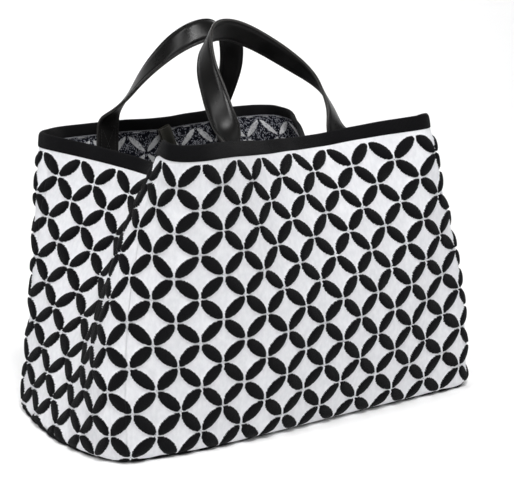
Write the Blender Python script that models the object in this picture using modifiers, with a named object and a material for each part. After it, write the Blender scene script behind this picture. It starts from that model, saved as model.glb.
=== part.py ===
"""A soft knitted tote for wool and needles, built as an assembly of separate pieces.

The knitted body is a tube of fabric whose girth never changes: at the base it is a rectangle, and
towards the rim its two gussets fold inwards. Every place on it is given by two numbers: `turn`, the
distance round the bag in half pattern repeats, and `rise`, from 0 at the base edge to 1 at the rim.
The origin is the middle of the underside, +Z is up, +X is right and +Y is the back. Units: metres.
"""

import math

import bmesh
import bpy
from mathutils import Matrix, Vector

# ---------------------------------------------------------------- driving dimensions

STEP = 0.022                    # half of a pattern repeat, measured round the bag
TURNS = 56                      # half repeats round the bag
WALL = 0.2785                   # knitted wall, under the base edge to the rim band's lower edge
BAND = 0.0140                   # height of the ribbed rim band
LENGTH = WALL + BAND            # fabric length of a full column, underside to rim top
EDGE = 0.0100                   # radius of the soft bottom edge
GAP = 0.0006                    # clearance between neighbouring pieces

KNIT = 0.0030                   # thickness of the knitted fabric
RIB = 0.0040                    # thickness of the folded rim band
SEAM = 0.0008                   # half the clearance between two sides where they are joined
BASE_KNIT = 0.0030              # thickness of the knitted base
BOARD = 0.0025                  # thickness of the stiffener board
BOARD_SIZE = (0.366, 0.176)     # the board's length and width
BOARD_CORNER = 0.014

STRAP_WIDTH = 0.0245            # leather handle strap
OUTER_PLY = 0.0016
LINING_PLY = 0.0012
ANCHOR = 0.0030                 # thickness of a handle's sewn end
ANCHOR_LENGTH = 0.046           # how far a sewn end runs down inside the bag
SEWN_GAP = 0.0010               # clearance of a sewn end, which is flat, to the curved band
FLEX_GAP = 0.0024               # bare flexing length on each side of a handle's swing axis
SWING_RISE = 0.0030             # the swing axis is this far above the rim band
THREAD = 0.0004                 # radius of the sewing thread

TAB_WIDTH = 0.0135              # closure tabs inside the mouth
TAB_LENGTH = 0.066
TAB = 0.0022
TAB_SLANT = math.radians(20)    # the tabs hang this far from plumb, towards +X
TAB_DEPTH = 0.0070              # a tab's swing axis, inside the outer face
TAB_STANDOFF = 0.0040           # the tab's middle, further in than its swing axis
SNAP_RADIUS = 0.0055
SNAP = 0.0020
WASHER_RADIUS = 0.0045
WASHER = 0.0008

# Corner points of the bag's outline at three heights, as (turn, x, y) with x and y in STEPs.
ROUNDING = 0.95                 # half length of the moving average that rounds the corners, in turns
BASE_OUTLINE = (
    (0.9, -9.2, -4.2), (4.5, -5.6, -4.85), (12, 1.85, -4.9), (19, 9.2, -5.15), (21.5, 9.8, -2.6),
    (24, 10.1, 0), (26.5, 9.9, 2.6), (29, 9.5, 5.0), (47, -9.7, 5.1), (49.5, -10.2, 2.6), (52, -10.45, 0),
    (54.5, -10.1, -2.4),
)
MIDDLE_OUTLINE = (
    (0, -9.6, -3.7), (3.4, -6.5, -4.8), (7, -3, -5.45), (12, 2, -5.25), (16, 6, -5.25), (18.6, 8.5, -4.9),
    (24.4, 7.0, 0.5), (29.6, 8.5, 5.5), (38, -0.5, 6.3), (46.4, -8.9, 5.4), (51.4, -7.6, 0.6),
)
RIM_OUTLINE = (
    (2.4, -7.55, -4.9), (5, -4.95, -5.25), (8, -2.15, -3.45), (11, 0.85, -2.6), (14, 3.8, -3.3),
    (16.8, 6.7, -4.95), (23.5, 3.9, 0.6), (29.7, 6.25, 5.5), (31.2, 5.2, 6.4), (38, -1.2, 5.9),
    (43.7, -6.5, 6.3), (45.9, -8.1, 5.4), (52, -4.4, 0.7),
)
# How much shorter than a full column the fabric is, as (turn, STEPs, 0): the rim dips at the gussets.
RIM_DIP = (
    (0.5, -0.4, 0), (3, 0.1, 0), (7, 0.1, 0), (11, -0.08, 0), (16, -0.12, 0), (18.5, -0.4, 0), (20, 0, 0),
    (22, 0.35, 0), (27, 0.35, 0), (30, 0.05, 0), (33, 0.1, 0), (40, 0.36, 0), (46, 0.6, 0), (49, 0.5, 0),
    (51, 0.33, 0), (54, 0.1, 0),
)

# Handles: where each leg passes the rim (in turns), how far the loop leans inwards, the loop's
# course in its own plane as (across, up) in STEPs from the left leg, and its twist along the way.
FRONT_HANDLE = {
    "legs": (6.3, 12.8),
    "lean": 40.0,
    "course": (
        (0.0, 0.0), (0.07, 0.8), (0.21, 1.6), (0.43, 2.5), (0.62, 3.3), (0.95, 4.0), (1.4, 4.7),
        (2.1, 5.26), (2.96, 5.43), (3.81, 5.25), (4.66, 4.81), (5.5, 4.2), (6.36, 3.4), (6.9, 2.75),
        (7.17, 2.2), (7.2, 1.5), (7.05, 0.8), (6.75, 0.0),
    ),
    "twist": ((0.0, 8), (0.03, 30), (0.06, 44), (0.12, 57), (0.19, 74), (0.3, 92), (0.36, 104), (0.42, 111),
              (0.48, 106), (0.6, 90), (0.68, 83), (0.75, 72), (0.8, 57), (0.86, 36), (0.93, 27), (0.97, 18),
              (1.0, 4)),
}
BACK_HANDLE = {
    "legs": (41.1, 34.5),
    "lean": 40.0,
    "course": (
        (0.0, 0.0), (0.02, 0.25), (0.22, 0.75), (0.5, 1.46), (0.84, 2.56), (1.24, 3.5), (1.86, 4.5),
        (2.66, 5.16),
        (3.59, 5.4), (4.35, 5.16), (4.88, 4.45), (5.26, 3.6), (5.57, 2.64), (5.79, 1.3), (5.93, 0.0),
    ),
    "twist": ((0.0, 0), (0.04, 28), (0.14, 50), (0.22, 62), (0.3, 76), (0.39, 95), (0.46, 112), (0.53, 98),
              (0.6, 64), (0.66, 36), (0.72, 17), (0.8, 14), (0.9, 8), (1.0, 0)),
}
TAB_PLACES = {"back": 38.0, "front": 10.0}      # in turns: the middle of each long side


# ---------------------------------------------------------------- the fabric surface

def along(outline, turn):
    """The point at `turn` on a closed outline of straight runs."""
    turn = (turn - outline[0][0]) % TURNS + outline[0][0]
    closed = outline + ((outline[0][0] + TURNS, outline[0][1], outline[0][2]),)
    for (t0, x0, y0), (t1, x1, y1) in zip(closed, closed[1:]):
        if turn <= t1:
            share = (turn - t0) / (t1 - t0)
            return Vector((x0 + (x1 - x0) * share, y0 + (y1 - y0) * share))
    return Vector(closed[-1][1:])


def rounded(outline, turn):
    """The same outline in metres, with its corners rounded by a moving average."""
    turn %= TURNS
    start, end = turn - ROUNDING, turn + ROUNDING
    corners = [row[0] + lap for lap in (-TURNS, 0, TURNS) for row in outline]
    cuts = [start] + [corner for corner in corners if start < corner < end] + [end]
    total = Vector((0.0, 0.0))
    for a, b in zip(cuts, cuts[1:]):
        total += along(outline, (a + b) / 2) * (b - a)
    return total * (STEP / (end - start))


def base_edge(turn, inset):
    """A point of the base outline, moved inwards by `inset`."""
    ahead = rounded(BASE_OUTLINE, turn + 0.05) - rounded(BASE_OUTLINE, turn - 0.05)
    return rounded(BASE_OUTLINE, turn) + Vector((-ahead.y, ahead.x)).normalized() * inset


def column(turn):
    """The fabric's length from the base edge up to the rim's top."""
    return LENGTH - rounded(RIM_DIP, turn).x


def below_rim(turn, distance):
    """The rise of the point this far below the rim's top, measured along the fabric."""
    return 1.0 - distance / column(turn)


def fabric(turn, rise, slices=10):
    """A point of the bag's outer face. Each column of stitches keeps its knitted length."""
    length = column(turn)
    base = rounded(BASE_OUTLINE, turn)
    middle = rounded(MIDDLE_OUTLINE, turn)
    rim = rounded(RIM_OUTLINE, turn)
    bend = 2 * base - 4 * middle + 2 * rim
    lean = -3 * base + 4 * middle - rim
    flat = base + lean * rise + bend * rise * rise
    height = 0.0
    for k in range(slices):
        slope = lean + 2 * bend * (rise * (k + 0.5) / slices)
        height += math.sqrt(length ** 2 - slope.length_squared) * rise / slices
    angle = min(rise * length / EDGE, math.pi / 2)      # how far round the soft bottom edge
    flat += base_edge(turn, EDGE * (1 - math.sin(angle))) - base
    height -= EDGE * (angle - 1 + math.cos(angle))
    return Vector((flat.x, flat.y, height))


def outward(turn, rise):
    """The unit normal of the fabric, pointing out of the bag."""
    across = fabric(turn + 0.05, rise) - fabric(turn - 0.05, rise)
    up = fabric(turn, min(rise + 0.002, 1.0)) - fabric(turn, max(rise - 0.002, 0.0))
    return across.cross(up).normalized()


def inside(turn, rise, depth):
    """A point `depth` inside the outer face."""
    return fabric(turn, rise) - outward(turn, rise) * depth


def spread(start, end, count):
    """`count` even steps from start to end, both included."""
    return [start + (end - start) * k / count for k in range(count + 1)]


# ---------------------------------------------------------------- making objects

bag = None                      # the collection that holds the pieces


def clear_scene():
    for obj in list(bpy.data.objects):
        bpy.data.objects.remove(obj, do_unlink=True)


def material(name, colour, roughness, metallic=0.0):
    found = bpy.data.materials.get(name)
    if found is None:
        found = bpy.data.materials.new(name)
    found.use_nodes = True
    shader = found.node_tree.nodes["Principled BSDF"]
    shader.inputs["Base Color"].default_value = (*colour, 1.0)
    shader.inputs["Roughness"].default_value = roughness
    shader.inputs["Metallic"].default_value = metallic
    return found


def add_object(name, data, look, origin=None):
    """Link an object; its geometry is in world space and its origin moves to `origin`."""
    obj = bpy.data.objects.new(name, data)
    bag.objects.link(obj)
    data.materials.append(material(name, *look))
    if origin is not None:
        data.transform(Matrix.Translation(-origin))
        obj.location = origin
    return obj


def surface_mesh(name, rows):
    """An open surface through a grid of points."""
    mesh = bmesh.new()
    grid = [[mesh.verts.new(point) for point in row] for row in rows]
    for low, high in zip(grid, grid[1:]):
        for k in range(len(low) - 1):
            mesh.faces.new((low[k], low[k + 1], high[k + 1], high[k]))
    data = bpy.data.meshes.new(name)
    mesh.to_mesh(data)
    mesh.free()
    for face in data.polygons:
        face.use_smooth = True
    return data


def thicken(obj, thickness, offset=-1.0):
    solid = obj.modifiers.new("thickness", "SOLIDIFY")
    solid.thickness = thickness
    solid.offset = offset
    solid.use_even_offset = False
    return obj


# ---------------------------------------------------------------- the knitted body

KNIT_LOOK = ((0.78, 0.78, 0.80), 0.9)
BAND_LOOK = ((0.012, 0.012, 0.014), 0.85)
LEATHER_LOOK = ((0.012, 0.011, 0.011), 0.35)
LINING_LOOK = ((0.02, 0.018, 0.018), 0.55)
THREAD_LOOK = ((0.01, 0.01, 0.01), 0.7)
BOARD_LOOK = ((0.05, 0.05, 0.05), 0.7)
STEEL_LOOK = ((0.55, 0.55, 0.56), 0.3, 1.0)


def fabric_solid(name, columns, thickness, look, ring=False):
    """A closed piece of fabric between the outer face and a face `thickness` inside it.

    `columns` holds one (turn, rises) pair for each column of points.
    """
    mesh = bmesh.new()
    rises = columns[0][1]
    outer = [[mesh.verts.new(fabric(turn, levels[row])) for turn, levels in columns]
             for row in range(len(rises))]
    inner = [[mesh.verts.new(inside(turn, levels[row], thickness)) for turn, levels in columns]
             for row in range(len(rises))]
    count = len(columns)
    pairs = [(k, (k + 1) % count) for k in range(count if ring else count - 1)]
    for row in range(len(rises) - 1):
        for a, b in pairs:
            mesh.faces.new((outer[row][a], outer[row][b], outer[row + 1][b], outer[row + 1][a]))
            mesh.faces.new((inner[row][b], inner[row][a], inner[row + 1][a], inner[row + 1][b]))
        if not ring:
            mesh.faces.new((inner[row][0], outer[row][0], outer[row + 1][0], inner[row + 1][0]))
            mesh.faces.new((outer[row][-1], inner[row][-1], inner[row + 1][-1], outer[row + 1][-1]))
    for a, b in pairs:
        mesh.faces.new((inner[0][a], inner[0][b], outer[0][b], outer[0][a]))
        mesh.faces.new((outer[-1][a], outer[-1][b], inner[-1][b], inner[-1][a]))
    data = bpy.data.meshes.new(name)
    mesh.to_mesh(data)
    mesh.free()
    return add_object(name, data, look)


def wall_panel(name, first, last, rows=9):
    """One side of the body, from the base edge to just below the rim band."""
    turns = spread(first, last, 2 * (last - first))
    turns[0] += SEAM / STEP
    turns[-1] -= SEAM / STEP
    grid = []
    for turn in turns:
        edge_end = EDGE * math.pi / 2 / column(turn)
        top = below_rim(turn, BAND + GAP)
        grid.append((turn, spread(0.0, edge_end, 3) + spread(edge_end, top, rows)[1:]))
    fabric_solid(name, grid, KNIT, KNIT_LOOK)


def make_body():
    wall_panel("front_panel", 1, 19)
    wall_panel("right_gusset", 19, 29)
    wall_panel("back_panel", 29, 47)
    wall_panel("left_gusset", 47, 57)


def make_rim_band():
    grid = [(turn, spread(below_rim(turn, BAND), 1.0, 2)) for turn in spread(0, TURNS, 2 * TURNS)[:-1]]
    fabric_solid("rim_band", grid, RIB, BAND_LOOK, ring=True)


def plate(name, points, bottom, thickness, look):
    """A flat plate with the given outline, standing on `bottom`."""
    curve = bpy.data.curves.new(name, "CURVE")
    curve.dimensions = "2D"
    curve.fill_mode = "BOTH"
    curve.extrude = thickness / 2
    line = curve.splines.new("POLY")
    line.points.add(len(points) - 1)
    for node, point in zip(line.points, points):
        node.co = (point[0], point[1], 0.0, 1.0)
    line.use_cyclic_u = True
    obj = bpy.data.objects.new(name, curve)
    bag.objects.link(obj)
    curve.materials.append(material(name, *look))
    obj.location.z = bottom + thickness / 2
    return obj


def rounded_rectangle(length, width, corner, steps=6):
    points = []
    for quarter, (sx, sy) in enumerate(((1, 1), (-1, 1), (-1, -1), (1, -1))):
        centre = Vector((sx * (length / 2 - corner), sy * (width / 2 - corner)))
        for k in range(steps + 1):
            angle = math.radians(90 * (quarter + k / steps))
            points.append(centre + corner * Vector((math.cos(angle), math.sin(angle))))
    return points


def make_base():
    edge = [base_edge(turn, EDGE + SEAM) for turn in spread(0, TURNS, 2 * TURNS)[:-1]]
    plate("base_panel", edge, 0.0, BASE_KNIT, KNIT_LOOK)
    board = rounded_rectangle(*BOARD_SIZE, BOARD_CORNER)
    plate("base_board", board, BASE_KNIT + GAP, BOARD, BOARD_LOOK)


# ---------------------------------------------------------------- the leather handles

def smooth_line(points, count):
    """`count` + 1 points at even distances along a Catmull-Rom curve through `points`."""
    ends = [2 * points[0] - points[1]] + list(points) + [2 * points[-1] - points[-2]]
    fine = []
    for p0, p1, p2, p3 in zip(ends, ends[1:], ends[2:], ends[3:]):
        for k in range(12):
            t = k / 12
            fine.append(0.5 * (2 * p1 + (p2 - p0) * t + (2 * p0 - 5 * p1 + 4 * p2 - p3) * t ** 2
                               + (3 * p1 - p0 - 3 * p2 + p3) * t ** 3))
    fine.append(points[-1].copy())
    reach = [0.0]
    for a, b in zip(fine, fine[1:]):
        reach.append(reach[-1] + (b - a).length)
    even = []
    k = 0
    for wanted in spread(0.0, reach[-1], count):
        while k < len(reach) - 2 and reach[k + 1] < wanted:
            k += 1
        even.append(fine[k].lerp(fine[k + 1], (wanted - reach[k]) / (reach[k + 1] - reach[k])))
    return even


def twist_at(table, share):
    """The twist in radians, eased between the table's (share of the length, degrees) entries."""
    for (s0, a0), (s1, a1) in zip(table, table[1:]):
        if share <= s1:
            part = (share - s0) / (s1 - s0)
            return math.radians(a0 + (a1 - a0) * part)
    return math.radians(table[-1][1])


ANCHOR_DEPTH = RIB + SEWN_GAP + ANCHOR / 2  # middle of a sewn end, inside the outer face


def leg_root(turn):
    """The point of a handle's swing axis where a leg crosses it."""
    return inside(turn, 1.0, ANCHOR_DEPTH) + Vector((0, 0, SWING_RISE))


def loop_frame(handle, side):
    """The loop's left root and its plane: across, up and the direction its outer face looks."""
    left = leg_root(handle["legs"][0])
    right = leg_root(handle["legs"][1])
    across = (right - left).normalized()
    lean = math.radians(handle["lean"])
    up = Vector((0, -side * math.sin(lean), math.cos(lean)))
    up = (up - across * up.dot(across)).normalized()
    face = across.cross(up) * -side
    return left, right, across, up, face


def strap_stations(handle, side, count=54):
    """Centre, width direction and outer normal along the strap, from the left leg to the right."""
    left, right, across, up, face = loop_frame(handle, side)
    span = (right - left).length / (handle["course"][-1][0] * STEP)
    flat = [Vector((u * STEP * span, v * STEP, 0)) for u, v in handle["course"]]
    line = smooth_line(flat, count * 4)
    step = (line[1] - line[0]).length
    first = round(FLEX_GAP / step)
    line = smooth_line(line[first:len(line) - first], count)
    stations = []
    for k, point in enumerate(line):
        along_line = (line[min(k + 1, count)] - line[max(k - 1, 0)]).normalized()
        away = across * -along_line.y + up * along_line.x
        twist = twist_at(handle["twist"], k / count)
        normal = face * math.cos(twist) + away * math.sin(twist)
        tangent = across * along_line.x + up * along_line.y
        width = tangent.cross(normal)
        stations.append((left + across * point.x + up * point.y, width, normal))
    return stations


def ribbon(name, stations, width, inner, outer, look, origin, columns=2):
    """A strap along `stations` whose thickness runs from `inner` to `outer` along the normals."""
    grid = []
    for centre, side, normal in stations:
        middle = centre + normal * (inner + outer) / 2
        grid.append([middle + side * width * share for share in spread(-0.5, 0.5, columns)])
    strap = add_object(name, surface_mesh(name, grid), look, origin)
    return thicken(strap, outer - inner, offset=0.0)


def make_anchor(name, turn, side, splay):
    """A handle's sewn end, flat against the inner face, with the thread that holds it."""
    top = 1.0 + (SWING_RISE - FLEX_GAP) / LENGTH
    bottom = 1.0 - ANCHOR_LENGTH / LENGTH
    stations = []
    for rise in spread(bottom, top, 6):
        place = turn + splay * (1.0 - rise)
        out = outward(place, min(rise, 1.0))
        centre = inside(place, min(rise, 1.0), ANCHOR_DEPTH) + Vector((0, 0, max(rise - 1.0, 0) * LENGTH))
        ahead = fabric(place, min(rise + 0.02, 1.0)) - fabric(place, min(rise + 0.02, 1.0) - 0.02)
        stations.append((centre, ahead.normalized().cross(out).normalized(), out))
    ribbon(name, stations, STRAP_WIDTH, -ANCHOR / 2, ANCHOR / 2, LEATHER_LOOK, None)
    make_stitching(name + "_stitching", stations)


def make_stitching(name, stations):
    """One closed run of thread round the sewn end, on its inner face."""
    inset = STRAP_WIDTH / 2 - 0.003
    depth = -(ANCHOR / 2 + GAP + THREAD)
    lower = stations[0][0].lerp(stations[1][0], 0.4)
    rows = [(lower, *stations[0][1:])] + stations[1:-1]
    left = [centre - width * inset + normal * depth for centre, width, normal in rows]
    right = [centre + width * inset + normal * depth for centre, width, normal in rows]
    curve = bpy.data.curves.new(name, "CURVE")
    curve.dimensions = "3D"
    curve.bevel_depth = THREAD
    curve.bevel_resolution = 1
    line = curve.splines.new("POLY")
    points = left + right[::-1]
    line.points.add(len(points) - 1)
    for node, point in zip(line.points, points):
        node.co = (*point, 1.0)
    line.use_cyclic_u = True
    add_object(name, curve, THREAD_LOOK)


def make_handle(name, handle, side):
    """side is -1 for the front handle and 1 for the back one."""
    stations = strap_stations(handle, side)
    left, right = loop_frame(handle, side)[:2]
    origin = (left + right) / 2
    seam = OUTER_PLY / 2
    ribbon(name + "_strap", stations, STRAP_WIDTH, -seam + GAP, seam + GAP, LEATHER_LOOK, origin)
    ribbon(name + "_lining", stations, STRAP_WIDTH, -seam - LINING_PLY, -seam, LINING_LOOK, origin)
    for leg, turn, splay in (("left", handle["legs"][0], 1.0), ("right", handle["legs"][1], -1.0)):
        make_anchor(f"{name}_{leg}_anchor", turn, side, splay * side * 1.8)


# ---------------------------------------------------------------- the closure tabs

def disc(name, centre, radius, thickness, look, origin):
    """A round plate whose axis runs front to back."""
    mesh = bmesh.new()
    bmesh.ops.create_cone(
        mesh, cap_ends=True, segments=24, radius1=radius, radius2=radius, depth=thickness,
        matrix=Matrix.Translation(centre) @ Matrix.Rotation(math.radians(90), 4, "X"),
    )
    data = bpy.data.meshes.new(name)
    mesh.to_mesh(data)
    mesh.free()
    return add_object(name, data, look, origin)


def make_tab(name, turn, side, fastener):
    """A leather tab that hangs aslant inside the mouth, with one half of the snap near its end."""
    root = inside(turn, below_rim(turn, BAND), TAB_DEPTH)
    along_tab = Vector((math.sin(TAB_SLANT), 0, -math.cos(TAB_SLANT)))
    across = Vector((math.cos(TAB_SLANT), 0, math.sin(TAB_SLANT)))
    normal = Vector((0, side, 0))
    top = root - normal * TAB_STANDOFF
    stations = [(top + along_tab * distance, across, normal) for distance in spread(TAB_LENGTH, 0.0, 6)]
    ribbon(name, stations, TAB_WIDTH, -TAB / 2, TAB / 2, LEATHER_LOOK, root)
    low = top + along_tab * (TAB_LENGTH - 2 * SNAP_RADIUS)
    face = low - normal * (TAB / 2 + GAP + SNAP / 2)
    back = low + normal * (TAB / 2 + GAP + WASHER / 2)
    disc(fastener, face, SNAP_RADIUS, SNAP, STEEL_LOOK, root)
    disc(fastener + "_washer", back, WASHER_RADIUS, WASHER, STEEL_LOOK, root)


# ---------------------------------------------------------------- assembly

def main():
    global bag
    clear_scene()
    bag = bpy.data.collections.new("knitting_bag")
    bpy.context.scene.collection.children.link(bag)
    make_body()
    make_base()
    make_rim_band()
    make_handle("front_handle", FRONT_HANDLE, -1)
    make_handle("back_handle", BACK_HANDLE, 1)
    make_tab("closure_tab_back", TAB_PLACES["back"], 1, "snap_socket")
    make_tab("closure_tab_front", TAB_PLACES["front"], -1, "snap_stud")


main()
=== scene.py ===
"""Looks of the knitting bag: a jacquard knit tote with twisted leather handles and closure tabs.

Everything is in metres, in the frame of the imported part. The knitted surface is described by
three outlines (base edge, middle and rim). A `turn` counts half pattern repeats round the bag
and a `rise` goes from 0 at the base edge to 1 at the rim's top.
"""
import math

import bpy
import numpy as np
from mathutils import Matrix, Vector


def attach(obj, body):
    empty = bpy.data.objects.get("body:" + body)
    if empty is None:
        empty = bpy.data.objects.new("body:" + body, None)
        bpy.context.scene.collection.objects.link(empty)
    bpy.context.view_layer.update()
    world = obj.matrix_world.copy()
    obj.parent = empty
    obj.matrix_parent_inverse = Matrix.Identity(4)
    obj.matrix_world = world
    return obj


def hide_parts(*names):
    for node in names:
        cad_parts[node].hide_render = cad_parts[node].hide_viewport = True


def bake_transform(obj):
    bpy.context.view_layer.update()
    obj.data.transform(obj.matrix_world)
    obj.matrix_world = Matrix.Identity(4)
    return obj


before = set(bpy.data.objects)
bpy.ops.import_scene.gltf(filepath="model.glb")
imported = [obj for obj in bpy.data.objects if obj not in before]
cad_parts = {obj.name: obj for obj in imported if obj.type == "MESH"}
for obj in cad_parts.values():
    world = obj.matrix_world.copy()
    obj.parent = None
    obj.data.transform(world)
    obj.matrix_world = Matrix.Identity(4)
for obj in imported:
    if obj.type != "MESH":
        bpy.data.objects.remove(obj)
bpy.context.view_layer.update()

# ------------------------------ driving sizes, as in the part

STEP = 0.022                # half a pattern repeat, measured round the bag
TURNS = 56                  # STEPs round the bag
LENGTH = 0.2925             # a full column of stitches, base edge to rim
BAND = 0.0140               # height of the rim band
EDGE = 0.0100               # radius of the soft bottom edge
KNIT = 0.0030               # thickness of the body's fabric
ROUNDING = 0.95             # how far the outlines' corners are rounded, in STEPs
STRAP_WIDTH = 0.0245
ANCHOR_LENGTH = 0.046       # the handles' sewn ends
ANCHOR_DEPTH = 0.0065       # their middle, inside the outer face
SWING_RISE = 0.003          # the swing axes lie this far above the rim
TAB_WIDTH = 0.0135
TAB_LENGTH = 0.066
TAB = 0.0022
TAB_SLANT = math.radians(20)
TAB_DEPTH = 0.0070
TAB_STANDOFF = 0.0040
TAB_FOLD = 0.0025           # the fold stands this far above the tab's swing axis
SNAP_RADIUS = 0.0055
SNAP = 0.0020
WASHER_RADIUS = 0.0045
WASHER = 0.0008
SNAP_GAP = 0.0006

# (turn, x, y) in STEPs
BASE_OUTLINE = (
    (0.9, -9.2, -4.2), (4.5, -5.6, -4.85), (12, 1.85, -4.9), (19, 9.2, -5.15), (21.5, 9.8, -2.6),
    (24, 10.1, 0), (26.5, 9.9, 2.6), (29, 9.5, 5.0), (47, -9.7, 5.1), (49.5, -10.2, 2.6), (52, -10.45, 0),
    (54.5, -10.1, -2.4),
)
MIDDLE_OUTLINE = (
    (0, -9.6, -3.7), (3.4, -6.5, -4.8), (7, -3, -5.45), (12, 2, -5.25), (16, 6, -5.25), (18.6, 8.5, -4.9),
    (24.4, 7.0, 0.5), (29.6, 8.5, 5.5), (38, -0.5, 6.3), (46.4, -8.9, 5.4), (51.4, -7.6, 0.6),
)
RIM_OUTLINE = (
    (2.4, -7.55, -4.9), (5, -4.95, -5.25), (8, -2.15, -3.45), (11, 0.85, -2.6), (14, 3.8, -3.3),
    (16.8, 6.7, -4.95), (23.5, 3.9, 0.6), (29.7, 6.25, 5.5), (31.2, 5.2, 6.4), (38, -1.2, 5.9),
    (43.7, -6.5, 6.3), (45.9, -8.1, 5.4), (52, -4.4, 0.7),
)
RIM_DIP = (                 # (turn, STEPs, 0): how much shorter than a full column
    (0.5, -0.4, 0), (3, 0.1, 0), (7, 0.1, 0), (11, -0.08, 0), (16, -0.12, 0), (18.5, -0.4, 0), (20, 0, 0),
    (22, 0.35, 0), (27, 0.35, 0), (30, 0.05, 0), (33, 0.1, 0), (40, 0.36, 0), (46, 0.6, 0), (49, 0.5, 0),
    (51, 0.33, 0), (54, 0.1, 0),
)

# course: (along, up) in STEPs from the left root, in the loop's plane
# twist: (share of the length, degrees that the outer face is turned out of that plane)
FRONT_HANDLE = {
    "legs": (6.3, 12.8), "lean": 40.0,
    "course": (
        (0.0, 0.0), (0.07, 0.8), (0.21, 1.6), (0.43, 2.5), (0.62, 3.3), (0.95, 4.0), (1.4, 4.7), (2.1, 5.26),
        (2.96, 5.43), (3.81, 5.25), (4.66, 4.81), (5.5, 4.2), (6.36, 3.4), (6.9, 2.75), (7.17, 2.2),
        (7.2, 1.5), (7.05, 0.8), (6.75, 0.0),
    ),
    "twist": (
        (0.0, 8), (0.03, 30), (0.06, 44), (0.12, 57), (0.19, 74), (0.3, 92), (0.36, 104), (0.42, 111),
        (0.48, 106), (0.6, 90), (0.68, 83), (0.75, 72), (0.8, 57), (0.86, 36), (0.93, 27), (0.97, 18),
        (1.0, 4),
    ),
}
BACK_HANDLE = {
    "legs": (41.1, 34.5), "lean": 40.0,
    "course": (
        (0.0, 0.0), (0.08, 0.25), (0.3, 0.75), (0.58, 1.46), (0.86, 2.56), (1.24, 3.5), (1.86, 4.5),
        (2.66, 5.16), (3.59, 5.4), (4.35, 5.16), (4.88, 4.45), (5.26, 3.6), (5.57, 2.64), (5.79, 1.3),
        (5.93, 0.0),
    ),
    "twist": (
        (0.0, 0), (0.04, 28), (0.14, 50), (0.22, 62), (0.3, 76), (0.39, 95), (0.46, 112), (0.53, 98),
        (0.6, 64), (0.66, 36), (0.72, 17), (0.8, 14), (0.9, 8), (1.0, 0),
    ),
}
TAB_PLACES = {"back": 38.0, "front": 10.0}

# the knitted pattern: petals along the edges of a lattice that stands on its corners
ROW = 0.945 * STEP          # height of half a repeat
FIRST_ROW = 0.0165          # the first row of corners, below the rim's top
PETAL_LENGTH = 0.87         # share of a lattice edge
PETAL_WIDTH = 0.200         # half the width, in lattice edges
PETAL_BLUNT = 0.56          # lower is blunter
SUNK = 0.0007               # how far the ground between them sinks
PUFF = 0.0034               # how far a petal stands out
STITCHES = 20               # columns of stitches in one STEP
STITCH_SHAPE = 0.95         # rows of stitches in one ROW, as a share of that

# where the knit is drawn out of its even spread: the turns and the rows between which a shift starts,
# is full, is still full and has faded, then the shift itself, in STEPs round the bag and in rows down it
KNIT_DRIFT = (
    ((-14.0, -9.0, -9.0, -5.0), (-3.0, -1.0, 1.5, 6.5), -0.50, 0.0),
    ((-12.0, -7.5, -5.0, -1.0), (-3.0, -1.0, 3.0, 6.5), -0.12, 0.0),
    ((-12.0, -8.0, -5.0, -1.5), (6.0, 9.0, 11.0, 14.0), 0.28, 0.0),
    ((-2.0, 1.0, 2.5, 4.5), (0.0, 2.0, 5.0, 8.0), 0.22, 0.0),
    ((-3.0, 0.0, 3.0, 6.0), (8.0, 10.5, 12.0, 14.0), -0.24, 0.0),
    ((1.0, 3.5, 8.0, 12.0), (1.0, 8.0, 11.0, 14.5), 0.0, 0.14),
    ((10.0, 13.0, 17.0, 21.0), (-3.0, 1.0, 12.0, 18.0), 0.0, -0.10),
    ((5.5, 8.0, 16.0, 18.5), (-3.0, 0.0, 4.0, 7.0), 0.19, 0.0),
)

# ------------------------------ the fabric surface


def rounded(outline, turns):
    """Points of a closed outline in metres, its corners rounded by a moving average."""
    rows = np.array(outline, float)
    corner = np.concatenate([rows[:, 0] + lap * TURNS for lap in (-1, 0, 1, 2)])
    place = np.tile(rows[:, 1:], (4, 1))
    run = np.diff(corner)[:, None]
    swept = np.vstack([np.zeros(2), np.cumsum((place[1:] + place[:-1]) / 2 * run, axis=0)])

    def sweep_to(turn):
        k = np.clip(np.searchsorted(corner, turn, side="right") - 1, 0, len(run) - 1)
        past = (turn - corner[k])[..., None]
        return swept[k] + place[k] * past + (place[k + 1] - place[k]) / run[k] * past ** 2 / 2

    turns = np.mod(turns, TURNS)
    return (sweep_to(turns + ROUNDING) - sweep_to(turns - ROUNDING)) * (STEP / (2 * ROUNDING))


def base_edge(turns, inset):
    """Points of the base outline, moved inwards by `inset`."""
    ahead = rounded(BASE_OUTLINE, turns + 0.05) - rounded(BASE_OUTLINE, turns - 0.05)
    inward = np.stack([-ahead[..., 1], ahead[..., 0]], axis=-1)
    inward /= np.linalg.norm(inward, axis=-1, keepdims=True)
    return rounded(BASE_OUTLINE, turns) + inward * inset[..., None]


def column(turns):
    """The fabric's length from the base edge up to the rim's top."""
    return LENGTH - rounded(RIM_DIP, turns)[..., 0]


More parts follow.
